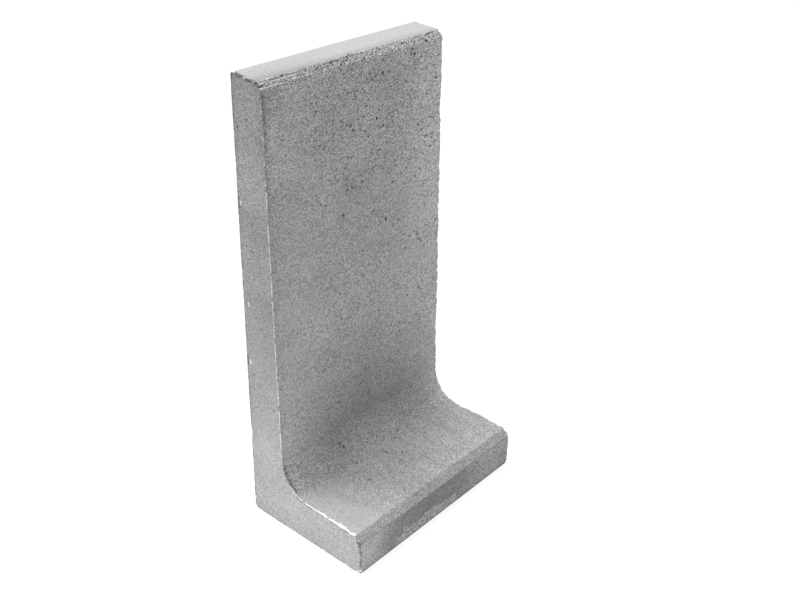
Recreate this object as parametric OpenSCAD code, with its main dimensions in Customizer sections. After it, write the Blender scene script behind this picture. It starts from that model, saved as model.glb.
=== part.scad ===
// L-shaped retaining block of precast concrete, in millimetres.
// One solid casting: an upright wall with a drafted inner face, a flat foot and
// a wide cove between them. It stands on its base, with the foot towards -Y.

/* [Block] */
// Width of the block along the wall
block_w = 400; // [200:10:600]
// Height of the block, to the top of its worn crest
block_h = 780; // [400:10:1000]
// Depth from the outer face to the tip of the foot
block_d = 250; // [200:5:400]

/* [Wall] */
// Thickness of the wall where its top chamfer ends
wall_top_t = 61; // [50:1:80]
// Thickness of the wall at its root, where it would meet the foot
wall_root_t = 74; // [60:1:100]
// Fall of the top face from the outer side to the foot side
top_fall = 6; // [1:1:12]

/* [Foot] */
// Thickness of the foot at its tip, where the chamfer starts
foot_tip_t = 73; // [50:1:100]
// Thickness of the foot at its root, where it would meet the wall
foot_root_t = 76; // [55:1:110]
// Radius of the cove between the wall and the foot
cove_r = 56; // [20:1:90]

/* [Arrises] */
// Depth of the chamfer along the wall's inner top arris
top_chamfer_d = 9; // [3:1:15]
// Height of the chamfer along the wall's inner top arris
top_chamfer_h = 11; // [3:1:15]
// Depth of the chamfer along the foot's tip
tip_chamfer_d = 12; // [4:1:20]
// Height of the chamfer along the foot's tip
tip_chamfer_h = 13; // [4:1:20]
// Radius of the worn crest, along the outer top arris
crest_r = 6; // [2:1:10]
// Radius of the worn heel, along the foot of the outer face
heel_r = 8; // [2:1:12]
// Radius that softens the two arrises of the foot's chamfer
tip_r = 6; // [2:1:8]

/* [Hidden] */
$fn = 96;
// How far the cutter of a worn arris reaches out past it
reach = 5;

// The profile's points are [depth, height]: depth runs from the outer face to the tip.
top_slope = top_fall / (wall_top_t - top_chamfer_d);
// The sharp crest stands above the block's height, because the wear takes its top off
crest = [0, block_h + crest_r * (top_slope + sqrt(1 + pow(top_slope, 2)) - 1)];
crown_edge = [wall_top_t - top_chamfer_d, crest.y - top_fall];
wall_head = [wall_top_t, crown_edge.y - top_chamfer_h];
root = [wall_root_t, foot_root_t];
foot_edge = [block_d - tip_chamfer_d, foot_tip_t];
tip_head = [block_d, foot_tip_t - tip_chamfer_h];
tip_toe = [block_d, 0];
heel = [0, 0];

// An arc of radius r, tangent to the two sides that run from a corner to a and to b
function unit(v) = v / norm(v);
function half_angle(a, corner, b) = acos(unit(a - corner) * unit(b - corner)) / 2;
function bisector(a, corner, b) = unit(unit(a - corner) + unit(b - corner));
function arc_centre(a, corner, b, r) =
    corner + bisector(a, corner, b) * r / sin(half_angle(a, corner, b));
function arc_end(a, corner, b, r) =
    corner + unit(a - corner) * r / tan(half_angle(a, corner, b));

// What wear has taken from a sharp arris
module worn_arris(a, corner, b, r) {
    centre = arc_centre(a, corner, b, r);
    difference() {
        polygon([
            corner - bisector(a, corner, b) * reach,
            arc_end(a, corner, b, r),
            centre,
            arc_end(b, corner, a, r)
        ]);
        translate(centre) circle(r = r);
    }
}

// The L in section, filled to the cove's chord and then hollowed to its arc
module profile() {
    difference() {
        polygon([
            heel,
            tip_toe,
            tip_head,
            foot_edge,
            arc_end(foot_edge, root, wall_head, cove_r),
            arc_end(wall_head, root, foot_edge, cove_r),
            wall_head,
            crown_edge,
            crest
        ]);
        translate(arc_centre(wall_head, root, foot_edge, cove_r)) circle(r = cove_r);
        worn_arris(heel, crest, crown_edge, crest_r);
        worn_arris(crest, heel, tip_toe, heel_r);
        worn_arris(root, foot_edge, tip_head, tip_r);
        worn_arris(foot_edge, tip_head, tip_toe, tip_r);
    }
}

// The casting, drawn out along the wall
module l_block() {
    color("#9b9b9a")
        translate([-block_w / 2, block_d / 2, 0])
            rotate([90, 0, 90])
                mirror([1, 0, 0])
                    linear_extrude(height = block_w)
                        profile();
}

l_block();
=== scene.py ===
"""Looks of the L-shaped retaining block: worn cast concrete on a pale studio floor."""

import math
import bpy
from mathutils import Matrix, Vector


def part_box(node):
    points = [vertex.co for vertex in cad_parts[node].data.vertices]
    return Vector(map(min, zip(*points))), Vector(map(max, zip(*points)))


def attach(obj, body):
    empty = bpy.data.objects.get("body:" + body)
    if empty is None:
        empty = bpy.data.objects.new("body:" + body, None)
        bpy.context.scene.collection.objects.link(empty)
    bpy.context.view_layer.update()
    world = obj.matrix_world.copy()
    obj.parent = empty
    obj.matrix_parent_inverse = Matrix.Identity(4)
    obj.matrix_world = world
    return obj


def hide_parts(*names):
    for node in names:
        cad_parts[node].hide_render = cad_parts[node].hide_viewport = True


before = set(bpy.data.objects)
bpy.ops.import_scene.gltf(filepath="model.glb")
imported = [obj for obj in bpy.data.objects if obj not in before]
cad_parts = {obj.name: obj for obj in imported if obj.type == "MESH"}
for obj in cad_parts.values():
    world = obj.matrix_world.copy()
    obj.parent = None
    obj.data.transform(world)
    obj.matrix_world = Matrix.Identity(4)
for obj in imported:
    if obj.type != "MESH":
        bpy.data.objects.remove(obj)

from types import SimpleNamespace

import bmesh
import bpy
import numpy as np
from mathutils import Quaternion, Vector, noise
from mathutils.bvhtree import BVHTree

bpy.context.view_layer.update()

# Lengths are in millimetres, and turn to metres where a mesh, a lamp or a texture needs it. Across is
# x, from the near end at -200 to the far end at 200. Depth is y, from the tip at -125 to the outer face
# at 125. Height is z. A pair whose name ends in STEP says where a soft step starts and where it ends,
# and an amount that is a pair says what it goes from and to.
MM = 0.001
SEED = 11

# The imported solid, which the skin follows
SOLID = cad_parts["l_block"]
LOW, HIGH = (np.array(corner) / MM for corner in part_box("l_block"))
HALF_WIDTH = HIGH[0]
TOP = HIGH[2]
WELD = 0.01

# Skin grid: narrow cells beside the arrises, wide ones across the faces
FINE_CELL = 0.6
WIDE_CELL = 3.8
THROUGH_CELL = 5.0
CELL_GROWTH = 1.35
CELL_ALONG = {"chamfer": 0.9, "wall": 4.0, "cove": 1.7, "foot": 3.4, "tip chamfer": 1.6}

# Noises: the size of their bumps, and a number that sets each one apart from the rest
NOISES = {
    "wear": (28.0, 0), "chips": (7.0, 1), "chip spread": (70.0, 2), "far wear": (55.0, 12),
    "far nicks": (8.0, 22), "waves": (90.0, 7), "face grit": (8.0, 8), "chamfer grit": (5.0, 4),
    "lip gaps": (9.0, 3), "foot lip edge": (5.0, 13), "wall lip edge": (7.0, 21),
    "ridge wobble": (14.0, 19), "ridge gaps": (5.0, 6), "furrows": (4.0, 14),
    "bloom edge": (18.0, 16), "bloom lumps": (8.0, 5), "specks": (5.0, 18), "tip damp": (50.0, 10),
    "trowel strokes": (8.0, 20), "coarse patches": (45.0, 17),
}
NOISE_SHIFT = (17.3, 5.1, 9.7)


def farthest(points, direction):
    """Number of the point that lies farthest along a direction."""
    return int(np.argmax(points @ np.array(direction, float)))


def end_outline(node):
    """Corners (depth, height) round the solid's end, from the toe up the tip face and on round."""
    solid = bmesh.new()
    solid.from_mesh(node.data)
    bmesh.ops.remove_doubles(solid, verts=solid.verts, dist=WELD * MM)
    end_x = min(v.co.x for v in solid.verts)
    end_faces = {f for f in solid.faces if all(v.co.x < end_x + WELD * MM for v in f.verts)}
    rim = [e for e in solid.edges if sum(f in end_faces for f in e.link_faces) == 1]
    beside = {}
    for edge in rim:
        for vert in edge.verts:
            beside.setdefault(vert, []).append(edge.other_vert(vert))
    toe = min(beside, key=lambda vert: vert.co.y + vert.co.z)
    walk = [toe, max(beside[toe], key=lambda vert: vert.co.z)]
    while len(walk) < len(beside):
        walk.append(next(v for v in beside[walk[-1]] if v is not walk[-2]))
    outline = np.array([(v.co.y, v.co.z) for v in walk]) / MM
    solid.free()
    return outline


def lengths_along(path):
    """Distance of each corner from the path's start."""
    steps = np.linalg.norm(np.diff(path, axis=0), axis=1)
    return np.concatenate([[0], np.cumsum(steps)])


def points_along(path, lengths):
    """Points of a path at the given distances from its start."""
    marks = lengths_along(path)
    return np.column_stack([np.interp(lengths, marks, path[:, axis]) for axis in (0, 1)])


def graded(length, wide):
    """Positions from 0 to length, close together at both ends and wide apart between."""
    steps = [FINE_CELL]
    while steps[-1] * CELL_GROWTH < wide:
        steps.append(steps[-1] * CELL_GROWTH)
    edge = np.cumsum(steps)
    count = round((length - 2 * edge[-1]) / wide)
    middle = np.linspace(edge[-1], length - edge[-1], count + 1)
    return np.concatenate([[0], edge[:-1], middle, length - edge[-2::-1], [length]])


def section_grid(outline):
    """Grid of points (depth, height): rows run from the top to the tip, columns from outside in."""
    tip_top, head, crest = (farthest(outline, way) for way in ((-10, 1), (-1, 1), (1, 1)))
    tip_side = outline[:tip_top + 1]
    inner = outline[tip_top:head + 1][::-1]
    top_side = outline[head:crest + 1][::-1]
    outer = np.vstack([outline[crest:], outline[:1]])

    # The four long flats of the inner side are the chamfer, the wall, the foot and the tip chamfer.
    marks = lengths_along(inner)
    chamfer, wall, foot, _ = np.sort(np.argsort(np.diff(marks))[-4:])
    joints = [0, chamfer + 1, wall + 1, foot, foot + 1, len(inner) - 1]

    # A row starts on the outer side at the same height as on the wall, or depth as on the foot.
    outer_lengths = lengths_along(outer)
    partners = [0]
    partners += [np.interp(-inner[j][1], -outer[:, 1], outer_lengths) for j in joints[1:3]]
    partners += [np.interp(-inner[j][0], -outer[:, 0], outer_lengths) for j in joints[3:5]]
    partners.append(outer_lengths[-1])

    inner_rows, outer_rows = [np.zeros(1)], [np.zeros(1)]
    for part, cell in enumerate(CELL_ALONG.values()):
        for rows, ends in ((inner_rows, marks[joints]), (outer_rows, partners)):
            count = round((marks[joints[part + 1]] - marks[joints[part]]) / cell)
            rows.append(np.linspace(ends[part], ends[part + 1], count + 1)[1:])
    inside = points_along(inner, np.concatenate(inner_rows))
    outside = points_along(outer, np.concatenate(outer_rows))

    thickness = np.linalg.norm(inside[0] - outside[0])
    share = graded(thickness, THROUGH_CELL) / thickness
    grid = outside[:, None] + (inside - outside)[:, None] * share[:, None]
    for row, path in ((0, top_side), (-1, tip_side)):
        grid[row] = points_along(path, share * lengths_along(path)[-1])
    return grid


def nearest_side(points, outline):
    """Distance from each point to the section's outline, and the outward way there."""
    along = np.roll(outline, -1, axis=0) - outline
    share = np.einsum("psk,sk->ps", points[:, None] - outline, along) / (along ** 2).sum(1)
    foot = outline + np.clip(share, 0, 1)[..., None] * along
    gap = np.linalg.norm(points[:, None] - foot, axis=2)
    best = gap.argmin(1)
    outward = np.column_stack([-along[:, 1], along[:, 0]]) / np.linalg.norm(along, axis=1)[:, None]
    return gap[np.arange(len(points)), best], outward[best]


def field(points, name):
    """One of the noises, from about -0.7 to 0.7 at each point."""
    size, number = NOISES[name]
    shift = Vector(NOISE_SHIFT) * (SEED + number)
    return np.array([noise.noise(Vector(point) + shift) for point in points / size])


def smooth(start, end, value):
    """0 at the start, 1 at the end and a soft step between; the start may be the greater."""
    share = np.clip((value - start) / (end - start), 0, 1)
    return share * share * (3 - 2 * share)


def between(amounts, share):
    """From the first amount at share 0 to the second at share 1."""
    return amounts[0] + (amounts[1] - amounts[0]) * share


def sheet_quads(sheet):
    """Faces of a grid of vertex numbers."""
    corners = sheet[:-1, :-1], sheet[1:, :-1], sheet[1:, 1:], sheet[:-1, 1:]
    return np.stack(corners, axis=-1).reshape(-1, 4)


# Where the parts of the section meet, and half the width over which one part's look turns to the next
CHAMFER_STEP = (TOP - 18.3, TOP - 15.3)
COVE_TOP = 130.0
COVE_BLEND = 20.0
FOOT_BACK = 18.0
FOOT_BLEND = 8.0
FOOT_EDGE = -113.0
EDGE_BLEND = 2.0
NEAR_STEP = (40.0, -40.0)

# Arrises of both ends, rubbed round and chipped in handling
WEAR_RADIUS = 1.4
WEAR_CHANGE = 0.9
CHIP_RADIUS = 3.2
CHIP_STEP = (0.15, 0.35)
CHIP_SPREAD_STEP = (-0.2, 0.3)
HEEL_CHIP_RADIUS = 3.2
HEEL_CHIP_HEIGHT = 158.0
HEEL_CHIP_LENGTH = 12.0
HEEL_DEPTH = 100.0
TOE_CHIP_RADIUS = 5.0
TOE_CHIP_HEIGHT = 6.0
FAR_WEAR_RADIUS = 3.0
FAR_WEAR_STEP = (0.0, 0.4)
FAR_NICK_RADIUS = 3.5
FAR_NICK_STEP = (0.05, 0.3)


def worn(points, to_end, to_side, outward):
    """Rounds the arrises of both ends, with a radius that changes along them and chips."""
    x, y, z = points.T
    radius = WEAR_RADIUS + WEAR_CHANGE * field(points, "wear")
    chips = smooth(*CHIP_STEP, field(points, "chips"))
    chips *= smooth(*CHIP_SPREAD_STEP, field(points, "chip spread"))
    radius += CHIP_RADIUS * chips
    heel_chip = np.exp(-((z - HEEL_CHIP_HEIGHT) / HEEL_CHIP_LENGTH) ** 2)
    radius += HEEL_CHIP_RADIUS * heel_chip * (x < 0) * (y > HEEL_DEPTH)
    radius += TOE_CHIP_RADIUS * np.exp(-(z / TOE_CHIP_HEIGHT) ** 2) * (x < 0) * (y < FOOT_EDGE)
    radius += FAR_WEAR_RADIUS * smooth(*FAR_WEAR_STEP, field(points, "far wear")) * (x > 0)
    radius += FAR_NICK_RADIUS * smooth(*FAR_NICK_STEP, field(points, "far nicks")) * (x > 0)
    away = np.maximum(to_end, to_side)
    near = away < radius
    turn = (1 - away[near] / radius[near]) * math.pi / 4
    along = radius[near] * (1 - np.sin(turn))
    across = radius[near] * (1 - np.cos(turn))
    on_side = to_side[near] <= to_end[near]
    end_gap = np.where(on_side, along, across)
    side_gap = np.where(on_side, across, along)
    points[near, 0] -= np.sign(points[near, 0]) * (end_gap - to_end[near])
    points[near, 1:] -= outward[near] * (side_gap - to_side[near])[:, None]
    return points


def skin_mesh():
    """The block's surface as one closed grid, with marks that say which side a vertex is on."""
    outline = end_outline(SOLID)
    section = section_grid(outline)
    across = graded(2 * HALF_WIDTH, WIDE_CELL) - HALF_WIDTH
    rows, columns, stations = shape = section.shape[:2] + across.shape
    shell = np.ones(shape, bool)
    shell[1:-1, 1:-1, 1:-1] = False
    number = np.full(shape, -1)
    number[shell] = np.arange(shell.sum())
    row, column, station = np.nonzero(shell)

    gap, outward = nearest_side(section.reshape(-1, 2), outline)
    place = row * columns + column
    points = np.column_stack([across[station], section[row, column]])
    to_end = HALF_WIDTH - abs(points[:, 0])
    to_side = gap[place]
    points = worn(points, to_end, to_side, outward[place])

    sheets = number[0], number[-1], number[:, 0], number[:, -1], number[:, :, 0], number[:, :, -1]
    faces = np.vstack([sheet_quads(sheet) for sheet in sheets])
    mesh = bpy.data.meshes.new("concrete_block")
    mesh.from_pydata(points * MM, [], faces.tolist())
    marks = {"inner": column == columns - 1, "top": row == 0, "tip": row == rows - 1,
             "from_arris": np.maximum(to_end, to_side)}
    for name, mark in marks.items():
        mesh.attributes.new(name, "FLOAT", "POINT").data.foreach_set("value", mark.astype(float))
    return mesh


# Air holes that the photograph shows on the wall's inner face and the chamfer (across, height, radius),
# on the foot and the cove (across, depth, radius) and on the near end (depth, height, radius)
WALL_HOLES = (
    (160, 765, 3), (15, 765, 2), (55, 755, 2), (-15, 755, 1.5), (130, 750, 2.5), (25, 740, 2),
    (55, 735, 3), (30, 730, 2), (-5, 720, 2), (160, 720, 2), (-10, 715, 1.5), (110, 710, 2),
    (155, 700, 2), (100, 695, 1.5), (-40, 680, 2), (10, 675, 2), (40, 665, 3), (-15, 660, 2.5),
    (55, 650, 2.5), (20, 640, 2), (145, 550, 2), (135, 540, 2.5), (105, 535, 2), (-40, 525, 3),
    (30, 510, 2), (60, 485, 3), (140, 430, 2), (145, 420, 2.5), (150, 415, 2), (110, 415, 2),
    (155, 335, 2), (145, 325, 2.5), (150, 320, 2), (115, 320, 2), (150, 260, 2), (95, 255, 1.5),
    (5, 220, 2), (-100, 215, 1.5), (-55, 170, 1.5), (-10, 775, 3),
)
FOOT_HOLES = (
    (-70, 45, 2.5), (-65, 40, 3), (35, 10, 2), (-65, 10, 2), (-5, -5, 2.5), (15, -25, 2),
    (-80, -35, 2), (-5, -40, 2), (-90, -65, 1.5),
)
END_HOLES = (
    (95, 715, 2), (95, 705, 1.5), (115, 700, 2), (90, 565, 1.5), (95, 550, 1.5), (110, 510, 1.5),
    (95, 505, 1.5), (110, 280, 2), (75, 230, 1.5), (65, 230, 1.5),
)
# Air holes anywhere on the block, and more on the outer face, which the photograph doesn't show
STRAY_HOLES = 46
STRAY_RADIUS = (1.1, 2.2)
OUTER_HOLES = 34
OUTER_RADIUS = (1.4, 3.0)
OUTWARD_LEAST = 0.9
# Cells wide enough for a hole, the reach of the finer cells in hole radii, and the hole's depth in radii
WIDE_FACE = 2.0
HOLE_REACH = 2.2
HOLE_CUTS = 3
HOLE_DEPTH = 0.9


def hole_places(skin):
    """Centre and radius of each air hole on the skin."""
    tree = BVHTree.FromBMesh(skin)
    beyond = 2 * TOP
    rays = [((x, -beyond, z), (0, 1, 0), radius) for x, z, radius in WALL_HOLES]
    rays += [((x, y, beyond), (0, 0, -1), radius) for x, y, radius in FOOT_HOLES]
    rays += [((-beyond, y, z), (1, 0, 0), radius) for y, z, radius in END_HOLES]
    holes = [(tree.ray_cast(Vector(start) * MM, Vector(way))[0], radius) for start, way, radius in rays]
    draw = np.random.default_rng(SEED)
    wide = [face for face in skin.faces if face.calc_area() > (WIDE_FACE * MM) ** 2]
    outer = [face for face in wide if face.normal.y > OUTWARD_LEAST]
    for faces, count, radii in ((wide, STRAY_HOLES, STRAY_RADIUS), (outer, OUTER_HOLES, OUTER_RADIUS)):
        for number in draw.choice(len(faces), count, replace=False):
            holes.append((faces[number].calc_center_median(), draw.uniform(*radii)))
    return holes


def sink_holes(skin):
    """Cuts the skin finer round each air hole and presses the hole in."""
    holes = hole_places(skin)
    # A layer for the painted shade inside each air hole
    hole_shade = skin.verts.layers.float.new("hole")
    centres = np.array([face.calc_center_median() for face in skin.faces])
    faces = np.array(skin.faces)
    edges = set()
    for centre, radius in holes:
        close = np.linalg.norm(centres - centre, axis=1) < radius * HOLE_REACH * MM
        edges.update(edge for face in faces[close] for edge in face.edges)
    bmesh.ops.subdivide_edges(skin, edges=list(edges), cuts=HOLE_CUTS, use_grid_fill=True)
    skin.normal_update()
    verts = np.array(skin.verts)
    points = np.array([vert.co for vert in skin.verts])
    for centre, radius in holes:
        gap = np.linalg.norm(points - centre, axis=1) / (radius * MM)
        for vert, share in zip(verts[gap < 1], gap[gap < 1]):
            depth = 1 - share ** 2
            # The layer darkens the hole's colour: painted shade inside it
            vert[hole_shade] = max(vert[hole_shade], min(1, 2 * depth))
            vert.co -= vert.normal * depth * radius * HOLE_DEPTH * MM


def values(mesh, name):
    """A named mark of every vertex, as an array."""
    found = np.zeros(len(mesh.vertices))
    mesh.attributes[name].data.foreach_get("value", found)
    return found


def vectors(collection, name):
    """A vector property of every vertex or normal, as an array of rows."""
    found = np.zeros(len(collection) * 3)
    collection.foreach_get(name, found)
    return found.reshape(-1, 3)


def zones(mesh):
    """For every vertex, 1 on each part of the block and 0 off it, with soft steps between."""
    at = SimpleNamespace(points=vectors(mesh.vertices, "co") / MM)
    for name in ("inner", "top", "tip", "from_arris"):
        setattr(at, name, values(mesh, name))
    at.x, at.y, at.z = at.points.T
    at.to_end = HALF_WIDTH - abs(at.x)
    at.near_half = smooth(*NEAR_STEP, at.x)
    at.chamfer = at.inner * smooth(*CHAMFER_STEP, at.z)
    at.on_foot = at.inner * smooth(FOOT_BACK + FOOT_BLEND, FOOT_BACK - FOOT_BLEND, at.y)
    at.foot_top = at.on_foot * smooth(FOOT_EDGE - EDGE_BLEND, FOOT_EDGE + EDGE_BLEND, at.y)
    at.tip_chamfer = at.on_foot * (1 - at.foot_top)
    at.on_wall = at.inner * smooth(COVE_TOP - COVE_BLEND, COVE_TOP + COVE_BLEND, at.z) * (1 - at.chamfer)
    at.in_cove = at.inner * (1 - at.on_foot) * (1 - at.on_wall) * (1 - at.chamfer)
    at.toward_tip = smooth(FOOT_BACK, FOOT_EDGE, at.y)
    return at


# Lip of cement paste that leaked between the mould's cheeks and its core. It is stout on the foot's
# near end, widest at the tip, and thin and broken up the wall.
LIP_HEIGHT = 1.2
FOOT_LIP_WIDTH = (3.5, 7.5)
FOOT_LIP_RAGGED = 1.1
FOOT_LIP_FALL = 0.5
FOOT_LIP_ENDS = (0.2, 1.0)
FOOT_LIP_STEP = (FOOT_BACK + 22.0, FOOT_BACK + 12.0)
FOOT_LIP_GAPS_STEP = (-0.5, -0.2)
WALL_LIP_SHARE = 0.5
WALL_LIP_WIDTH = 2.4
WALL_LIP_RAGGED = 0.9
WALL_LIP_FALL = 0.3
WALL_LIP_GAPS_STEP = (-0.55, -0.1)
HIGH_GAPS = 0.35
HIGH_GAPS_STEP = (560.0, 700.0)


def add_lips(at):
    """Marks the lip along the foot and along the wall."""
    gaps = field(at.points, "lip gaps")
    width = between(FOOT_LIP_WIDTH, at.toward_tip)
    width *= 1 + FOOT_LIP_RAGGED * field(at.points, "foot lip edge")
    at.foot_lip = at.inner * smooth(*FOOT_LIP_STEP, at.y)
    at.foot_lip *= smooth(FOOT_EDGE - EDGE_BLEND, FOOT_EDGE + EDGE_BLEND, at.y)
    at.foot_lip *= smooth(width, FOOT_LIP_FALL * width, at.to_end)
    at.foot_lip *= smooth(*FOOT_LIP_GAPS_STEP, gaps) * between(FOOT_LIP_ENDS, at.near_half)
    width = WALL_LIP_WIDTH * (1 + WALL_LIP_RAGGED * field(at.points, "wall lip edge"))
    at.wall_lip = at.on_wall * smooth(width, WALL_LIP_FALL * width, at.to_end)
    at.wall_lip *= smooth(*WALL_LIP_GAPS_STEP, gaps - HIGH_GAPS * smooth(*HIGH_GAPS_STEP, at.z))


# Long ridges that the screed left on the chamfer, at these depths below the top. They wobble and break
# up, most towards the far end, and furrows lie between them.
RIDGE_DROPS = (1.5, 6.0, 10.0, 15.0)
RIDGE_STEP = (1.0, 0.2)
RIDGE_HEIGHT = 0.5
RIDGE_WOBBLE = 1.5
RIDGE_STRETCH = (0.25, 1, 1)
RIDGE_GAPS_STEP = (-0.55, -0.25)
FAR_RIDGE_GAPS = 0.5
FAR_RIDGE_GAPS_STEP = (-60.0, 100.0)
FURROW_STEP = (1.0, 2.0)
FURROW_LEVEL = 0.5


def add_ridges(at):
    """Marks the ridges of the chamfer and the furrows between them."""
    along = at.points * RIDGE_STRETCH
    level = TOP - at.z + RIDGE_WOBBLE * field(along, "ridge wobble")
    drop = np.min([abs(level - depth) for depth in RIDGE_DROPS], axis=0)
    far_gaps = FAR_RIDGE_GAPS * smooth(*FAR_RIDGE_GAPS_STEP, at.x)
    at.ridges = at.chamfer * smooth(*RIDGE_STEP, drop)
    at.ridges *= smooth(*RIDGE_GAPS_STEP, field(along, "ridge gaps") - far_gaps)
    at.furrows = at.chamfer * smooth(*FURROW_STEP, drop) * (FURROW_LEVEL + field(along, "furrows"))


# Lime bloom and crumbs low on the tip
BLOOM_HEIGHT_STEP = (34.0, 22.0)
BLOOM_RAGGED = 20.0
BLOOM_NEAR_STEP = (-155.0, -105.0)
BLOOM_FAR_STEP = (90.0, 40.0)
BLOOM_LUMP = 0.4


def add_bloom(at):
    """Marks the lime bloom."""
    height = at.z + BLOOM_RAGGED * field(at.points, "bloom edge")
    at.bloom = at.tip * smooth(*BLOOM_HEIGHT_STEP, height)
    at.bloom *= smooth(*BLOOM_NEAR_STEP, at.x) * smooth(*BLOOM_FAR_STEP, at.x)


# Unevenness of the faces
WAVE_DEPTH = 0.4
FACE_ROUGHNESS = 0.12
CHAMFER_ROUGHNESS = 0.9


def relief(at):
    """Height of the skin over the solid's face at every vertex."""
    height = WAVE_DEPTH * field(at.points, "waves")
    height += FACE_ROUGHNESS * field(at.points, "face grit")
    height += CHAMFER_ROUGHNESS * at.chamfer * field(at.points, "chamfer grit")
    height += BLOOM_LUMP * at.bloom * (1 + field(at.points, "bloom lumps"))
    return height + LIP_HEIGHT * (at.foot_lip + WALL_LIP_SHARE * at.wall_lip) + RIDGE_HEIGHT * at.ridges


# Chips along the near arrises, most at the crown, at the toe and beside the foot
END_SKIN = 0.5
ABOVE_BASE = 45.0
CROWN_STEP = (TOP - 22.0, TOP - 6.0)
TOE_STEP = (-112.0, -120.0)
HEEL_STEP = (108.0, 118.0)
BASE_STEP = (8.0, 3.0)
BASE_CHIPS = 0.5
FOOT_CHIPS = 0.7
CHIP_CORE = 1.0
CHIP_REACH = 4.0
CHIP_SPREAD = (2.5, 4.5)
SPECK_LEVEL = 0.5

# Crumbs of paste stuck to the near end (depth, height)
CRUMBS = ((118, 580), (112, 408), (116, 302))
CRUMB_WIDTH = 5.0
CRUMB_LENGTH = 9.0


def add_chips(at):
    """Marks the near end, its chipped arrises, and the crumbs stuck to it."""
    at.on_end = (at.to_end < END_SKIN) * at.near_half
    at.beside_foot = (at.y < FOOT_BACK) * (at.y > FOOT_EDGE) * (at.z > ABOVE_BASE)
    at.crown = smooth(*CROWN_STEP, at.z)
    at.toe = smooth(*TOE_STEP, at.y)
    heel = smooth(*HEEL_STEP, at.y)
    base = BASE_CHIPS * smooth(*BASE_STEP, at.z)
    at.chipped = np.max([at.crown, at.toe, base, heel, FOOT_CHIPS * at.beside_foot], axis=0)
    reach = CHIP_REACH + between(CHIP_SPREAD, at.toe) * at.chipped
    at.near_arris = smooth(reach, CHIP_CORE + at.chipped, at.from_arris) * at.near_half
    at.specks = SPECK_LEVEL + field(at.points, "specks")
    at.crumbs = sum(np.exp(-((at.y - deep) / CRUMB_WIDTH) ** 2 - ((at.z - high) / CRUMB_LENGTH) ** 2)
                    for deep, high in CRUMBS)


# Pale colour on the lips, partly paste and partly a painted highlight; pale paste on the ridges, smeared
# beside the foot, and in the chips of the crown and the toe
FOOT_LIP_PASTE_AND_HIGHLIGHT = (0.55, 0.85)
WALL_LIP_PASTE_AND_HIGHLIGHT = 0.7
CRUMB_PASTE = 0.75
RIDGE_PASTE = (0.64, 0.4)
RIDGE_PASTE_STEP = (-200.0, 40.0)
SMEAR_PASTE = (0.1, 1.2)
SMEAR_STEP = (6.0, 0.5)
CROWN_PASTE = 1.05
CROWN_PASTE_STEP = (TOP - 6.0, TOP - 2.0)
TOE_PASTE = (0.28, 0.56)
TOE_BASE_PASTE = 0.35
TOE_BASE_STEP = (14.0, 5.0)


def paste_and_highlight_on(at):
    """Amount of pale cement paste, with a painted highlight on the lips."""
    # The lips' pale colour is partly paste and partly a painted highlight
    paste_and_highlight = at.foot_lip * between(FOOT_LIP_PASTE_AND_HIGHLIGHT, at.toward_tip) + WALL_LIP_PASTE_AND_HIGHLIGHT * at.wall_lip
    paste_and_highlight += CRUMB_PASTE * at.on_end * at.crumbs
    paste_and_highlight += at.ridges * between(RIDGE_PASTE, smooth(*RIDGE_PASTE_STEP, at.x))
    smear = at.on_end * at.beside_foot * smooth(*SMEAR_STEP, at.from_arris) * at.toward_tip
    paste_and_highlight += smear * between(SMEAR_PASTE, at.specks)
    crown = CROWN_PASTE * at.specks * smooth(*CROWN_PASTE_STEP, at.z)
    toe = at.toe * (between(TOE_PASTE, at.specks) + TOE_BASE_PASTE * smooth(*TOE_BASE_STEP, at.z))
    return paste_and_highlight + at.near_arris * (crown + toe)


# Damp on the tip and the chamfers
TIP_DAMP = 1.241
TIP_DAMP_CHANGE = 0.876
TIP_DAMP_NEAR_STEP = (-170.0, -95.0)
TIP_DAMP_ACROSS = (1.0, 0.31)
TIP_DAMP_FAR_STEP = (-20.0, 130.0)
TIP_DAMP_UP = (0.6, 1.0)
TIP_DAMP_UP_STEP = (5.0, 35.0)
TIP_CHAMFER_DAMP = 0.55
CHAMFER_DAMP = (0.42, 0.15)
CHAMFER_CHANGE_STEP = (-100.0, 60.0)

# Painted shade, darkest in the hollow between wall and foot, thinning out over both and towards the ends
SHADE_NEAR_STEP = (-215.0, -60.0)
SHADE_FAR_STEP = (205.0, 80.0)
CENTRE_NEAR_STEP = (-120.0, -20.0)
CENTRE_FAR_STEP = (120.0, 20.0)
HOLLOW_DEPTH_STEP = (5.0, 65.0)
HOLLOW_HEIGHT_STEP = (360.0, 120.0)
HOLLOW_SHADE = 0.56
COVE_SHADE = 0.15
WALL_SHADE = (0.2, 0.3)
FOOT_SHADE = 0.12

# Duller patches at the wall's two top corners, and painted shade on the foot's far corner
TOP_CORNERS_STEP = (695.0, 725.0)
NEAR_CORNER_DAMP = 0.35
NEAR_CORNER_STEP = (-140.0, -180.0)
FAR_CORNER_DAMP = 0.15
FAR_CORNER_STEP = (90.0, 130.0)
FOOT_CORNER_SHADE = 0.15
FOOT_CORNER_STEP = (90.0, 150.0)
FOOT_CORNER_DEPTH_STEP = (-50.0, -90.0)

# Faint strokes of the trowel across the foot, and painted shade towards the foot's far end
TROWEL_DAMP = 0.3
TROWEL_STRETCH = (1, 0.12, 1)
FOOT_END_SHADE = 0.25
FOOT_END_STEP = (130.0, 195.0)

# A faint dullness over the top, and painted shade on its near part and along its front arris
TOP_DAMP = 0.02
NEAR_TOP_SHADE = 0.42
NEAR_TOP_STEP = (40.0, -190.0)
NEAR_TOP_DEPTH_STEP = (130.0, 55.0)
TOP_FRONT_SHADE = 0.36
TOP_FRONT_STEP = (90.0, 75.0)

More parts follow.
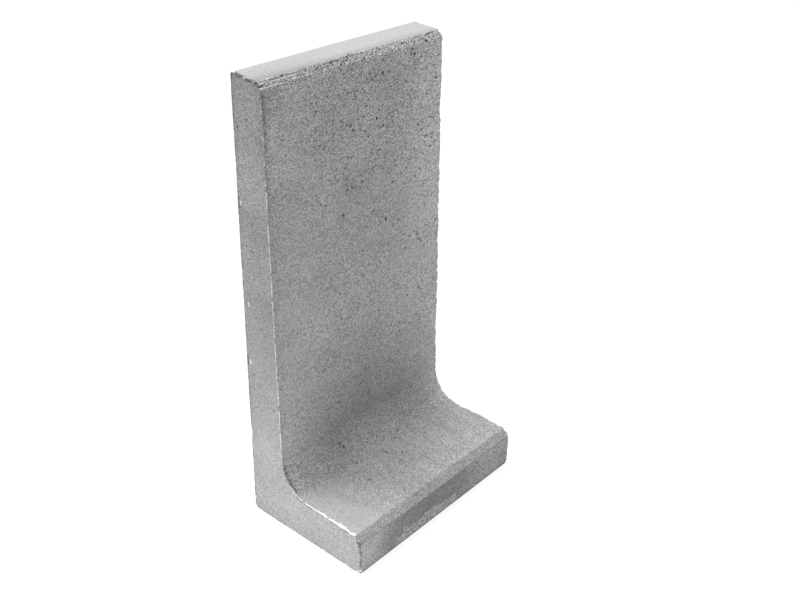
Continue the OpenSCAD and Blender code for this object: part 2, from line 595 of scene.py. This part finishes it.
# Painted shadow in the corner that the near lip makes with the wall and the cove, and painted shade high
# on the near end, darkest by its arris
BESIDE_STEP = (20.0, 2.0)
BESIDE_LIP_STEP = (1.6, 3.0)
HIGH_STEP = (480.0, 760.0)
BESIDE_WALL_SHADOW = (0.2, 0.45)
BESIDE_COVE_SHADOW = 0.28
HIGH_END_SHADE = (0.1, 0.3)
HIGH_END_STEP = (14.0, 1.0)
BESIDE_WALL_SHADOW_SPECKS = (0.46, 0.66)
BESIDE_COVE_SHADOW_SPECKS = 0.75


def add_corner(at):
    """Marks the corner beside the near lip, and how high up the wall a vertex is."""
    at.beside = at.inner * at.near_half * smooth(*BESIDE_STEP, at.to_end)
    at.beside *= smooth(*BESIDE_LIP_STEP, at.to_end)
    at.high = smooth(*HIGH_STEP, at.z)


def damp_and_shade_on(at):
    """Amount of damp and of painted shade, which both darken the concrete."""
    wet = TIP_DAMP + TIP_DAMP_CHANGE * field(at.points, "tip damp")
    wet *= smooth(*TIP_DAMP_NEAR_STEP, at.x) * between(TIP_DAMP_ACROSS, smooth(*TIP_DAMP_FAR_STEP, at.x))
    damp_and_shade = at.tip * wet * between(TIP_DAMP_UP, smooth(*TIP_DAMP_UP_STEP, at.z))
    damp_and_shade += TIP_CHAMFER_DAMP * at.tip_chamfer
    damp_and_shade += between(CHAMFER_DAMP, smooth(*CHAMFER_CHANGE_STEP, at.x)) * at.chamfer

    shade = smooth(*SHADE_NEAR_STEP, at.x) * smooth(*SHADE_FAR_STEP, at.x)
    centre = smooth(*CENTRE_NEAR_STEP, at.x) * smooth(*CENTRE_FAR_STEP, at.x)
    hollow = at.inner * smooth(*HOLLOW_DEPTH_STEP, at.y) * smooth(*HOLLOW_HEIGHT_STEP, at.z)
    # Painted shade in the hollow, over the cove, on the wall's middle and over the foot
    damp_and_shade += shade * (HOLLOW_SHADE * hollow + COVE_SHADE * at.in_cove)
    damp_and_shade += shade * (between(WALL_SHADE, centre) * at.on_wall + FOOT_SHADE * at.foot_top)

    corners = NEAR_CORNER_DAMP * smooth(*NEAR_CORNER_STEP, at.x)
    corners += FAR_CORNER_DAMP * smooth(*FAR_CORNER_STEP, at.x)
    damp_and_shade += at.on_wall * corners * smooth(*TOP_CORNERS_STEP, at.z)
    # Painted shade on the foot's far corner and towards its far end; the trowel strokes are the foot's own
    foot_corner = smooth(*FOOT_CORNER_STEP, at.x) * smooth(*FOOT_CORNER_DEPTH_STEP, at.y)
    strokes = TROWEL_DAMP * field(at.points * TROWEL_STRETCH, "trowel strokes")
    foot_end = FOOT_END_SHADE * smooth(*FOOT_END_STEP, at.x)
    damp_and_shade += at.foot_top * (FOOT_CORNER_SHADE * foot_corner + strokes + foot_end)

    # Painted shade on the top's near part and towards its front arris
    near_top = NEAR_TOP_SHADE * smooth(*NEAR_TOP_STEP, at.x) * smooth(*NEAR_TOP_DEPTH_STEP, at.y)
    damp_and_shade += at.top * (TOP_DAMP + near_top + TOP_FRONT_SHADE * smooth(*TOP_FRONT_STEP, at.y))
    # Painted shadow beside the near lip, on the wall and in the cove
    damp_and_shade += at.beside * (at.on_wall * between(BESIDE_WALL_SHADOW, at.high) + BESIDE_COVE_SHADOW * at.in_cove)
    # Painted shade high on the near end, darkest by its arris
    return damp_and_shade + at.on_end * at.high * between(HIGH_END_SHADE, smooth(*HIGH_END_STEP, at.from_arris))


# Dirt on the chamfer, in the chips and round the crumbs, painted shade along the near arrises, and dirt
# with a painted contact shadow along the base
FURROW_GRIME = (0.7, 0.45)
FURROW_GRIME_STEP = (-200.0, 0.0)
ARRIS_SHADE = 0.2
CHIP_GRIME = 0.25
SPECK_GRIME = 0.35
CROWN_SPECKS = (1.0, 2.4)
FOOT_CHIP_GRIME = 0.3
TOE_TOP_GRIME = 0.1
TOE_TOP_STEP = (50.0, 56.0)
BASE_GRIME_AND_SHADOW = (0.8, 0.2)
BASE_GRIME_AND_SHADOW_STEP = (5.0, 0.5)
CRUMB_GRIME = 2.0


def grime_and_shade_on(at):
    """Amount of dark dirt and painted shade."""
    # Painted shadow beside the near lip, broken into dark specks
    grime_and_shade = at.beside * (at.on_wall * between(BESIDE_WALL_SHADOW_SPECKS, at.high) + BESIDE_COVE_SHADOW_SPECKS * at.in_cove)
    grime_and_shade += at.furrows * between(FURROW_GRIME, smooth(*FURROW_GRIME_STEP, at.x))
    chips = CHIP_GRIME + SPECK_GRIME * (1 - at.specks) * between(CROWN_SPECKS, at.crown)
    chips += FOOT_CHIP_GRIME * at.beside_foot + TOE_TOP_GRIME * at.toe * smooth(*TOE_TOP_STEP, at.z)
    bare = 1 - at.foot_lip - at.wall_lip
    # Painted shade along the near arrises, and dirt in their chips
    grime_and_shade += at.near_arris * (ARRIS_SHADE + at.chipped * chips) * bare
    # Dirt and a painted contact shadow along the base
    grime_and_shade += smooth(*BASE_GRIME_AND_SHADOW_STEP, at.z) * between(BASE_GRIME_AND_SHADOW, at.near_arris)
    return grime_and_shade + CRUMB_GRIME * at.on_end * at.crumbs * (1 - at.crumbs)


# Paler faces: the top, pressed smooth; painted light on the foot's near corner, which is also smoother;
# painted light on the upper wall towards its far end; and two paler bands of the near end (amount, lower
# step, upper step)
LIT_PATCH = 0.7
LIT_PATCH_STEP = (-85.0, -165.0)
LIT_PATCH_DEPTH_STEP = (40.0, -20.0)
LIT_WALL = 0.7
LIT_WALL_STEP = (100.0, 180.0)
LIT_WALL_HEIGHT_STEP = (250.0, 600.0)
PALE_BANDS = ((1.0, (555.0, 590.0), (690.0, 650.0)), (0.45, (420.0, 455.0), (535.0, 510.0)))


def pressed_and_lit_on(at):
    """How far the face is pressed smooth and pale, with the painted light on the foot and the wall."""
    # Painted light on the upper wall towards its far end
    pale = LIT_WALL * at.on_wall * smooth(*LIT_WALL_STEP, at.x) * smooth(*LIT_WALL_HEIGHT_STEP, at.z)
    for amount, lower, upper in PALE_BANDS:
        pale += amount * at.on_end * smooth(*lower, at.z) * smooth(*upper, at.z)
    return at.top + at.film + pale


# How open the face is, which sets the number of its small air holes
OPEN = (0.62, 0.76)
OPEN_STEP = (-190.0, -60.0)
OPEN_CHANGE = 0.3
HIGH_OPEN = 0.18
HIGH_OPEN_STEP = (330.0, 700.0)
HIGH_OPEN_ACROSS_STEP = (-230.0, -20.0)
CHAMFER_OPEN = 0.4
FOOT_OPEN = -0.04
TOP_OPEN = -0.5


def coarse_on(at):
    """How open the face is."""
    coarse = between(OPEN, smooth(*OPEN_STEP, at.x)) + OPEN_CHANGE * field(at.points, "coarse patches")
    high = smooth(*HIGH_OPEN_STEP, at.z) * smooth(*HIGH_OPEN_ACROSS_STEP, at.x)
    coarse += HIGH_OPEN * at.on_wall * high
    return coarse + CHAMFER_OPEN * at.chamfer + FOOT_OPEN * at.on_foot + TOP_OPEN * at.top


# Strength of the sandy grain
GRAIN = 0.5
CHAMFER_GRAIN = (0.25, 0.4)
HIGH_GRAIN = 0.1
HIGH_GRAIN_STEP = (500.0, 750.0)
NEAR_WALL_GRAIN = -0.1
NEAR_WALL_STEP = (-60.0, -160.0)
FOOT_GRAIN = -0.08
TOP_GRAIN = -0.38
LIT_PATCH_GRAIN = -0.3
END_GRAIN = (-0.04, -0.14)
END_GRAIN_STEP = (550.0, 250.0)


def rough_on(at):
    """Strength of the sandy grain."""
    rough = GRAIN + at.chamfer * between(CHAMFER_GRAIN, smooth(*CHAMFER_CHANGE_STEP, at.x))
    rough += at.on_wall * HIGH_GRAIN * smooth(*HIGH_GRAIN_STEP, at.z)
    rough += at.on_wall * NEAR_WALL_GRAIN * smooth(*NEAR_WALL_STEP, at.x)
    rough += FOOT_GRAIN * at.on_foot + TOP_GRAIN * at.top + LIT_PATCH_GRAIN * at.film
    return rough + at.on_end * between(END_GRAIN, smooth(*END_GRAIN_STEP, at.z))


def dress(mesh):
    """Gives the skin its unevenness, lips and lumps, and marks where its look changes."""
    at = zones(mesh)
    add_lips(at)
    add_ridges(at)
    add_bloom(at)
    normals = vectors(mesh.vertex_normals, "vector")
    shaped = np.clip(at.points + normals * relief(at)[:, None], LOW, HIGH)
    mesh.vertices.foreach_set("co", (shaped * MM).ravel())

    add_chips(at)
    add_corner(at)
    # Painted light: a paler, smoother patch on the foot's near corner
    at.film = LIT_PATCH * at.foot_top * smooth(*LIT_PATCH_STEP, at.x) * smooth(*LIT_PATCH_DEPTH_STEP, at.y)
    marks = {"paste_and_highlight": paste_and_highlight_on(at), "damp_and_shade": damp_and_shade_on(at), "grime_and_shade": grime_and_shade_on(at),
             "coarse": coarse_on(at), "rough": rough_on(at), "pressed_and_lit": pressed_and_lit_on(at),
             "bloom": at.bloom}
    for name, amount in marks.items():
        layer = mesh.attributes.new(name, "FLOAT", "POINT")
        layer.data.foreach_set("value", np.clip(amount, 0, 1))
    for name in ("inner", "top", "tip", "from_arris"):
        mesh.attributes.remove(mesh.attributes[name])


def concrete_block():
    """The casting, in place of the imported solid."""
    mesh = skin_mesh()
    skin = bmesh.new()
    skin.from_mesh(mesh)
    bmesh.ops.recalc_face_normals(skin, faces=skin.faces)
    sink_holes(skin)
    skin.to_mesh(mesh)
    skin.free()
    dress(mesh)
    mesh.shade_smooth()
    mesh.materials.append(cast_concrete())
    block = bpy.data.objects.new("concrete_block", mesh)
    bpy.context.scene.collection.objects.link(block)
    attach(block, "root")
    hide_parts("l_block")


# Colours. The damp and shade filter is what wet concrete lets through of its dry colour, and it also makes
# the painted shade. The hole grey is painted shade in the holes and the colour of dirt, the pressed grey
# also serves painted light, and the paste white also serves the lips' painted highlight.
DRY_GREY = "#aaaaa9"
WET_GREY = "#9a9a99"
PRESSED_AND_LIT_GREY = "#aeaead"
PASTE_AND_HIGHLIGHT_WHITE = "#e6e6e3"
DAMP_AND_SHADE_FILTER = "#969695"
HOLE_SHADE_AND_DIRT_GREY = "#333332"
FLOOR_PALE = "#cdcdcd"
FLOOR_WHITE = "#f6f6f6"

# Cloudy patches where the cement dried unevenly
CLOUD_SIZE = 110.0
CLOUD_SPREAD = (0.3, 0.7)

# Sandy grain. The sand is about 1 mm and is drawn at 1.4 mm so that it shows, and it lies in slanting
# streaks where the mix was shaken down.
SAND_SIZE = 1.4
FINES_SIZE = 1.5
GRAIN_SLANT = 66.0
GRAIN_STRETCH = 1.8
SAND_SHARE = 0.4
GRAIN_SPREAD = (0.45, 0.95)
GRAIN_SWING = 1.1
GRAIN_BUMP = 0.8

# Small air holes: one in some cells of 6 mm, more of them where the face is open. Their largest radius
# and the width of their soft edge are shares of a cell.
PORE_CELL = 6.0
PORE_CHANCE = (0.56, 0.93)
PORE_RADIUS = 0.36
PORE_EDGE = 0.08
PORE_SINK = -1.5

# Paste, with the lips' painted highlight, breaks up into crumbs of 3.5 mm at its edges, dirt and painted
# shade sit in specks of 3 mm, and lime blooms in spots of 5 mm. Each has the amounts at which it starts
# and is full, and how much of the face it hides.
PASTE_AND_HIGHLIGHT_CRUMB = 3.5
PASTE_AND_HIGHLIGHT_START = (0.95, 1.15)
PASTE_AND_HIGHLIGHT_COVER = 0.95
DIRT_AND_SHADE_SPECK = 3.0
DIRT_AND_SHADE_START = (1.05, 1.2)
DIRT_AND_SHADE_COVER = 0.7
LIME_SPOT = 5.0
LIME_START = (1.45, 1.55)
LIME_COVER = 0.4
DAMP_AND_SHADE_COVER = 0.75
PORE_COVER = 0.85

# Matt where dry and a little less so where damp and where shade is painted, with the refraction of cement
DRY_ROUGHNESS = 0.92
DAMP_ROUGHNESS = 0.7
CEMENT_IOR = 1.5


def linear(colour):
    """An sRGB hex colour as linear red, green, blue and alpha."""
    parts = (int(colour[i:i + 2], 16) / 255 for i in (1, 3, 5))
    return (*(p / 12.92 if p <= 0.04045 else ((p + 0.055) / 1.055) ** 2.4 for p in parts), 1.0)


def per_metre(size):
    """Texture scale for bumps of a size in millimetres."""
    return 1 / (size * MM)


def add(tree, kind, inputs, **settings):
    """Adds a node with its settings, values and links, and returns its outputs by name."""
    made = tree.nodes.new("ShaderNode" + kind)
    for name, value in settings.items():
        setattr(made, name, value)
    sockets = {socket.identifier: socket for socket in made.inputs}
    for name, value in inputs.items():
        if isinstance(value, bpy.types.NodeSocket):
            tree.links.new(value, sockets[name])
        else:
            sockets[name].default_value = value
    return {socket.identifier: socket for socket in made.outputs}


def cast_concrete():
    """Dry precast concrete, vibrated in a steel mould: matt, sandy, with air holes and paste."""
    material = bpy.data.materials.new("cast_concrete")
    material.use_nodes = True
    tree = material.node_tree
    tree.nodes.clear()
    place = add(tree, "TexCoord", {})["Object"]
    paste_and_highlight, damp_and_shade, grime_and_shade, coarse, rough, hole, pressed_and_lit, bloom = (
        add(tree, "Attribute", {}, attribute_name=name)["Fac"]
        for name in ("paste_and_highlight", "damp_and_shade", "grime_and_shade", "coarse", "rough", "hole", "pressed_and_lit", "bloom")
    )

    # Clouds of drier and wetter grey, and the paler grey of pressed faces and of painted light
    clouds = add(tree, "TexNoise", {"Vector": place, "Scale": per_metre(CLOUD_SIZE), "Detail": 4.0,
                                    "Roughness": 0.55})["Fac"]
    clouds = add(tree, "MapRange", {"Value": clouds, "From Min": CLOUD_SPREAD[0],
                                    "From Max": CLOUD_SPREAD[1]})["Result"]
    colour = add(tree, "Mix", {"Factor_Float": clouds, "A_Color": linear(WET_GREY),
                               "B_Color": linear(DRY_GREY)}, data_type="RGBA")["Result_Color"]
    colour = add(tree, "Mix", {"Factor_Float": pressed_and_lit, "A_Color": colour,
                               "B_Color": linear(PRESSED_AND_LIT_GREY)}, data_type="RGBA")["Result_Color"]

    # Sand grains, each of its own grey, in the cement's finer grain
    slanted = add(tree, "Mapping", {"Vector": place, "Rotation": (0, math.radians(GRAIN_SLANT), 0),
                                    "Scale": (1, 1, GRAIN_STRETCH)}, vector_type="TEXTURE")["Vector"]
    sand = add(tree, "TexVoronoi", {"Vector": slanted, "Scale": per_metre(SAND_SIZE)})["Color"]
    sand = add(tree, "SeparateColor", {"Color": sand})["Green"]
    fines = add(tree, "TexNoise", {"Vector": slanted, "Scale": per_metre(FINES_SIZE), "Detail": 1.0,
                                   "Roughness": 0.7})["Fac"]
    texture = add(tree, "Math", {"Value": sand, "Value_001": SAND_SHARE, "Value_002": fines},
                  operation="MULTIPLY_ADD")["Value"]
    swing = add(tree, "MapRange", {"Value": texture, "From Min": GRAIN_SPREAD[0],
                                   "From Max": GRAIN_SPREAD[1], "To Min": -GRAIN_SWING,
                                   "To Max": GRAIN_SWING})["Result"]
    shade = add(tree, "Math", {"Value": swing, "Value_001": rough, "Value_002": 1.0},
                operation="MULTIPLY_ADD")["Value"]
    colour = add(tree, "VectorMath", {"Vector": colour, "Scale": shade}, operation="SCALE")["Vector"]

    # Small air holes in the grain, and the larger ones that are pressed into the skin, both darkened with
    # painted shade
    cells = add(tree, "TexVoronoi", {"Vector": slanted, "Scale": per_metre(PORE_CELL)})
    chance = add(tree, "SeparateColor", {"Color": cells["Color"]})["Red"]
    chance = add(tree, "Math", {"Value": chance, "Value_001": coarse}, operation="MULTIPLY")["Value"]
    size = add(tree, "MapRange", {"Value": chance, "From Min": PORE_CHANCE[0],
                                  "From Max": PORE_CHANCE[1], "To Min": 0.0,
                                  "To Max": PORE_RADIUS})["Result"]
    inside = add(tree, "Math", {"Value": size, "Value_001": cells["Distance"]},
                 operation="SUBTRACT")["Value"]
    pores = add(tree, "MapRange", {"Value": inside, "From Min": 0.0, "From Max": PORE_EDGE})["Result"]
    pores = add(tree, "Math", {"Value": pores, "Value_001": hole}, operation="MAXIMUM")["Value"]

    def speckled(amount, size, start):
        grains = add(tree, "TexNoise", {"Vector": place, "Scale": per_metre(size), "Detail": 2.0,
                                        "Roughness": 0.7})["Fac"]
        both = add(tree, "Math", {"Value": grains, "Value_001": amount}, operation="ADD")["Value"]
        return add(tree, "MapRange", {"Value": both, "From Min": start[0], "From Max": start[1]})["Result"]

    cover = speckled(paste_and_highlight, PASTE_AND_HIGHLIGHT_CRUMB, PASTE_AND_HIGHLIGHT_START)
    dirt_and_shade = speckled(grime_and_shade, DIRT_AND_SHADE_SPECK, DIRT_AND_SHADE_START)
    lime = speckled(bloom, LIME_SPOT, LIME_START)
    # Damp and painted shade darken the grains and leave them apart, and the other layers cover them; the
    # holes' dark grey is painted shade.
    layers = ((damp_and_shade, DAMP_AND_SHADE_FILTER, DAMP_AND_SHADE_COVER, "MULTIPLY"), (lime, PASTE_AND_HIGHLIGHT_WHITE, LIME_COVER, "MIX"),
              (cover, PASTE_AND_HIGHLIGHT_WHITE, PASTE_AND_HIGHLIGHT_COVER, "MIX"), (dirt_and_shade, HOLE_SHADE_AND_DIRT_GREY, DIRT_AND_SHADE_COVER, "MIX"),
              (pores, HOLE_SHADE_AND_DIRT_GREY, PORE_COVER, "MIX"))
    for share, tint, most, blend in layers:
        share = add(tree, "Math", {"Value": share, "Value_001": most}, operation="MULTIPLY")["Value"]
        colour = add(tree, "Mix", {"Factor_Float": share, "A_Color": colour, "B_Color": linear(tint)},
                     data_type="RGBA", blend_type=blend)["Result_Color"]

    height = add(tree, "Math", {"Value": pores, "Value_001": PORE_SINK, "Value_002": texture},
                 operation="MULTIPLY_ADD")["Value"]
    height = add(tree, "Math", {"Value": height, "Value_001": rough}, operation="MULTIPLY")["Value"]
    bump = add(tree, "Bump", {"Strength": 0.8, "Distance": GRAIN_BUMP * MM, "Height": height})["Normal"]
    matt = add(tree, "MapRange", {"Value": damp_and_shade, "To Min": DRY_ROUGHNESS,
                                  "To Max": DAMP_ROUGHNESS})["Result"]
    shader = add(tree, "BsdfPrincipled", {"Base Color": colour, "Roughness": matt, "IOR": CEMENT_IOR,
                                          "Normal": bump})["BSDF"]
    add(tree, "OutputMaterial", {"Surface": shader})
    return material


# Where the camera stands and how it is turned, in degrees
CAMERA_PLACE = (-1144.0, -1012.4, 1221.0)
CAMERA_AZIMUTH = -49.235
CAMERA_ELEVATION = 27.809
CAMERA_ROLL = 1.034
LENS = 47.82
SHIFT_UP = -0.025


def set_camera():
    """Camera at the photograph's viewing angle."""
    around, above, roll = (math.radians(a) for a in (CAMERA_AZIMUTH, CAMERA_ELEVATION, CAMERA_ROLL))
    level = math.cos(above)
    back = Vector((math.sin(around) * level, -math.cos(around) * level, math.sin(above)))
    camera = bpy.data.objects.new("camera", bpy.data.cameras.new("camera"))
    camera.location = Vector(CAMERA_PLACE) * MM
    camera.rotation_mode = "QUATERNION"
    camera.rotation_quaternion = (-back).to_track_quat("-Z", "Y") @ Quaternion((0, 0, 1), roll)
    camera.data.lens = LENS
    camera.data.shift_y = SHIFT_UP
    bpy.context.scene.collection.objects.link(camera)
    bpy.context.scene.camera = camera


# Floor and lamps. A fill lamp has its place, its width and its power in watts, and faces the middle of
# the block's base.
FLOOR_REACH = 12000.0
LAMP_WAY = (-0.02, 0.20, 0.97)
LAMP_POWER = 3.6
LAMP_ANGLE = 35.0
FILLS = (
    ((-510.0, 20.0, 10.0), 240.0, 0.86),
    ((-430.0, -430.0, 20.0), 200.0, 0.8),
    ((900.0, -350.0, 620.0), 300.0, 2.1),
)
# Light from the room, and how much of the floor's white is its own where the camera sees it
ROOM_LIGHT = 0.45
SEEN_WHITE = 0.82


def white_to_camera(tree):
    """1 for what the camera, a gloss or a glass sees, and 0 for light that falls on the block."""
    rays = add(tree, "LightPath", {})
    seen = rays["Is Camera Ray"]
    for other in ("Is Glossy Ray", "Is Transmission Ray"):
        seen = add(tree, "Math", {"Value": seen, "Value_001": rays[other]}, operation="MAXIMUM")["Value"]
    return seen


def set_studio():
    """Pale floor, one wide soft lamp, three weak fill lamps and even light from the room."""
    material = bpy.data.materials.new("studio_floor")
    material.use_nodes = True
    tree = material.node_tree
    tree.nodes.clear()
    seen = white_to_camera(tree)
    colour = add(tree, "Mix", {"Factor_Float": seen, "A_Color": linear(FLOOR_PALE),
                               "B_Color": linear(FLOOR_WHITE)}, data_type="RGBA")["Result_Color"]
    matt = add(tree, "BsdfDiffuse", {"Color": colour})["BSDF"]
    share = add(tree, "Math", {"Value": seen, "Value_001": SEEN_WHITE}, operation="MULTIPLY")["Value"]
    white = add(tree, "Emission", {"Strength": 1.0})["Emission"]
    mixed = add(tree, "MixShader", {"Fac": share, "Shader": matt, "Shader_001": white})["Shader"]
    add(tree, "OutputMaterial", {"Surface": mixed})

    mesh = bpy.data.meshes.new("floor")
    reach = FLOOR_REACH * MM
    corners = [(-reach, -reach, 0), (reach, -reach, 0), (reach, reach, 0), (-reach, reach, 0)]
    mesh.from_pydata(corners, [], [(0, 1, 2, 3)])
    mesh.materials.append(material)
    floor = bpy.data.objects.new("floor", mesh)
    bpy.context.scene.collection.objects.link(floor)

    lamp = bpy.data.objects.new("lamp", bpy.data.lights.new("lamp", "SUN"))
    lamp.data.energy = LAMP_POWER
    lamp.data.angle = math.radians(LAMP_ANGLE)
    lamp.rotation_mode = "QUATERNION"
    lamp.rotation_quaternion = Vector(LAMP_WAY).to_track_quat("Z", "Y")
    bpy.context.scene.collection.objects.link(lamp)

    for place, width, power in FILLS:
        fill = bpy.data.objects.new("fill", bpy.data.lights.new("fill", "AREA"))
        fill.data.energy = power
        fill.data.size = width * MM
        fill.location = Vector(place) * MM
        fill.rotation_mode = "QUATERNION"
        fill.rotation_quaternion = fill.location.to_track_quat("Z", "Y")
        fill.visible_camera = False
        bpy.context.scene.collection.objects.link(fill)

    world = bpy.data.worlds.new("studio")
    world.use_nodes = True
    tree = world.node_tree
    tree.nodes.clear()
    seen = white_to_camera(tree)
    room = add(tree, "MapRange", {"Value": seen, "To Min": ROOM_LIGHT, "To Max": 1.0})["Result"]
    light = add(tree, "Background", {"Color": (1, 1, 1, 1), "Strength": room})["Background"]
    add(tree, "OutputWorld", {"Surface": light})
    bpy.context.scene.world = world
    bpy.context.scene.view_settings.view_transform = "Standard"


concrete_block()
set_camera()
set_studio()
